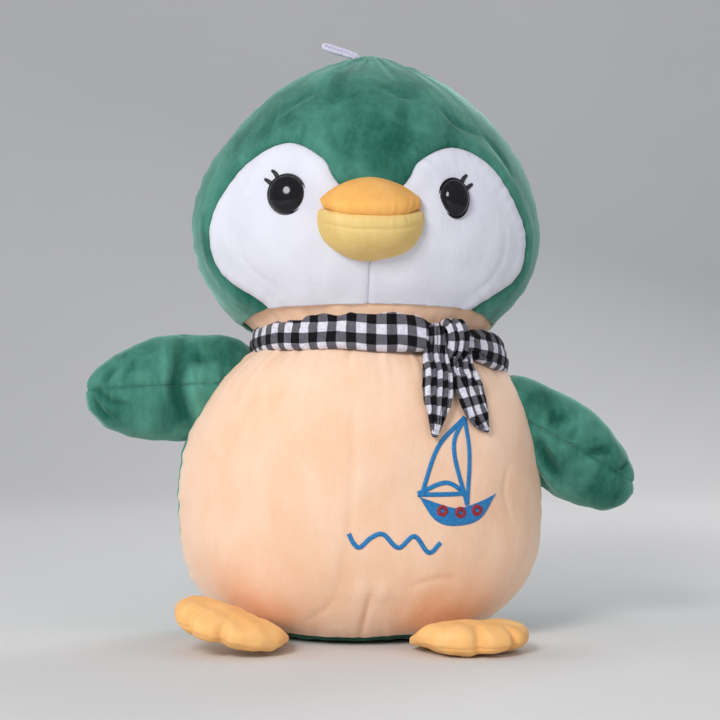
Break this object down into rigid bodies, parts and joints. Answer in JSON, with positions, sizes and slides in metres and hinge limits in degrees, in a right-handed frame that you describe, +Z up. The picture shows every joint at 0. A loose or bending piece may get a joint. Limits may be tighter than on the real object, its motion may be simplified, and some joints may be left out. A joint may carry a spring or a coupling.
{
  "type": "plush penguin",
  "caption": "Stuffed plush penguin that stands on a flat base, with soft wings and feet, a tied gingham neckerchief, an embroidered belly and a hanging loop.",
  "frame": {"origin": "centre of the flat base, on the surface that the penguin stands on", "axes": "+Z up, the face looks along -Y, +X towards the neckerchief's knot"},
  "size_m": [0.366, 0.2192, 0.3935],
  "materials": {
    "green_velboa": "matte",
    "dark_green_velboa": "matte",
    "peach_velboa": "matte",
    "white_velboa": "matte",
    "orange_velboa": "matte",
    "beak_orange_velboa": "matte",
    "beak_yellow_velboa": "matte",
    "gingham_cotton": "matte",
    "blue_thread": "satin",
    "red_thread": "satin",
    "black_thread": "satin",
    "eye_plastic": "gloss",
    "washer_plastic": "satin",
    "polyester_fill": "matte",
    "loop_cord": "matte"
  },
  "bodies": {
    "torso": {"belly_panel": "peach_velboa", "back_panel_left": "green_velboa", "back_panel_right": "green_velboa", "base_panel": "dark_green_velboa", "torso_stuffing": "polyester_fill", "boat_embroidery": "blue_thread", "porthole_left": "red_thread", "porthole_middle": "red_thread", "porthole_right": "red_thread", "wave_embroidery": "blue_thread", "scarf_band": "gingham_cotton", "scarf_knot": "gingham_cotton"},
    "neck_core": {"neck_stuffing": "polyester_fill"},
    "collar": {"neck_collar": "peach_velboa"},
    "head": {"head_front_panel": "green_velboa", "head_back_left": "green_velboa", "head_back_right": "green_velboa", "face_patch_left": "white_velboa", "face_patch_right": "white_velboa", "head_stuffing": "polyester_fill", "beak_upper_panel": "beak_orange_velboa", "beak_lower_panel": "beak_yellow_velboa", "beak_stuffing": "polyester_fill", "eye_left": "eye_plastic", "eye_right": "eye_plastic", "eye_washer_left": "washer_plastic", "eye_washer_right": "washer_plastic", "eyelash_left_upper": "black_thread", "eyelash_left_lower": "black_thread", "eyelash_right_upper": "black_thread", "eyelash_right_lower": "black_thread"},
    "loop": {"hang_loop": "loop_cord"},
    "wing_left": {"wing_left_upper_panel": "green_velboa", "wing_left_lower_panel": "green_velboa", "wing_left_stuffing": "polyester_fill"},
    "wing_right": {"wing_right_upper_panel": "green_velboa", "wing_right_lower_panel": "green_velboa", "wing_right_stuffing": "polyester_fill"},
    "foot_left": {"foot_left_top_panel": "orange_velboa", "foot_left_sole_panel": "orange_velboa", "foot_left_stuffing": "polyester_fill"},
    "foot_right": {"foot_right_top_panel": "orange_velboa", "foot_right_sole_panel": "orange_velboa", "foot_right_stuffing": "polyester_fill"},
    "tail_left": {"scarf_tail_left": "gingham_cotton"},
    "tail_right": {"scarf_tail_right": "gingham_cotton"}
  },
  "joints": [
    {"name": "head_nod", "type": "hinge", "parent": "torso", "child": "neck_core", "pos_m": [0.0055, 0, 0.198], "axis": [1, 0, 0], "range_deg": [-6, 6], "stiffness_Nm_per_rad": 4, "deforming": ["scarf_band", "neck_stuffing"]},
    {"name": "head_tilt", "type": "hinge", "parent": "neck_core", "child": "collar", "pos_m": [0.0055, 0, 0.198], "axis": [0, 1, 0], "range_deg": [-5, 5], "stiffness_Nm_per_rad": 4, "deforming": ["neck_collar"]},
    {"name": "head_turn", "type": "hinge", "parent": "collar", "child": "head", "pos_m": [0.0055, 0, 0.198], "axis": [0, 0.1392, 0.9903], "range_deg": [-20, 20], "stiffness_Nm_per_rad": 1.5},
    {"name": "loop_flop", "type": "hinge", "parent": "head", "child": "loop", "pos_m": [-0.0018, 0, 0.3822], "axis": [0, 1, 0], "range_deg": [-15, 90], "stiffness_Nm_per_rad": 0.002, "deforming": ["hang_loop"]},
    {"name": "wing_left_flap", "type": "hinge", "parent": "torso", "child": "wing_left", "pos_m": [-0.096, -0.002, 0.164], "axis": [0, 1, 0], "range_deg": [-18, 20], "stiffness_Nm_per_rad": 0.5},
    {"name": "wing_right_flap", "type": "hinge", "parent": "torso", "child": "wing_right", "pos_m": [0.108, -0.002, 0.14], "axis": [0, -1, 0], "range_deg": [-8, 31], "stiffness_Nm_per_rad": 0.5},
    {"name": "foot_left_flex", "type": "hinge", "parent": "torso", "child": "foot_left", "pos_m": [-0.06622, -0.06128, 0.01111], "axis": [-0.8438, 0.4725, 0.2543], "range_deg": [-12, 15], "stiffness_Nm_per_rad": 0.4},
    {"name": "foot_right_flex", "type": "hinge", "parent": "torso", "child": "foot_right", "pos_m": [0.0525, -0.06115, 0.0032], "axis": [-0.866, -0.5, 0], "range_deg": [-12, 15], "stiffness_Nm_per_rad": 0.4},
    {"name": "tail_left_swing", "type": "hinge", "parent": "torso", "child": "tail_left", "pos_m": [0.05, -0.0725, 0.168], "axis": [-1, 0, 0], "range_deg": [0, 30]},
    {"name": "tail_right_swing", "type": "hinge", "parent": "torso", "child": "tail_right", "pos_m": [0.0655, -0.0623, 0.168], "axis": [-1, 0, 0], "range_deg": [0, 30]}
  ]
}
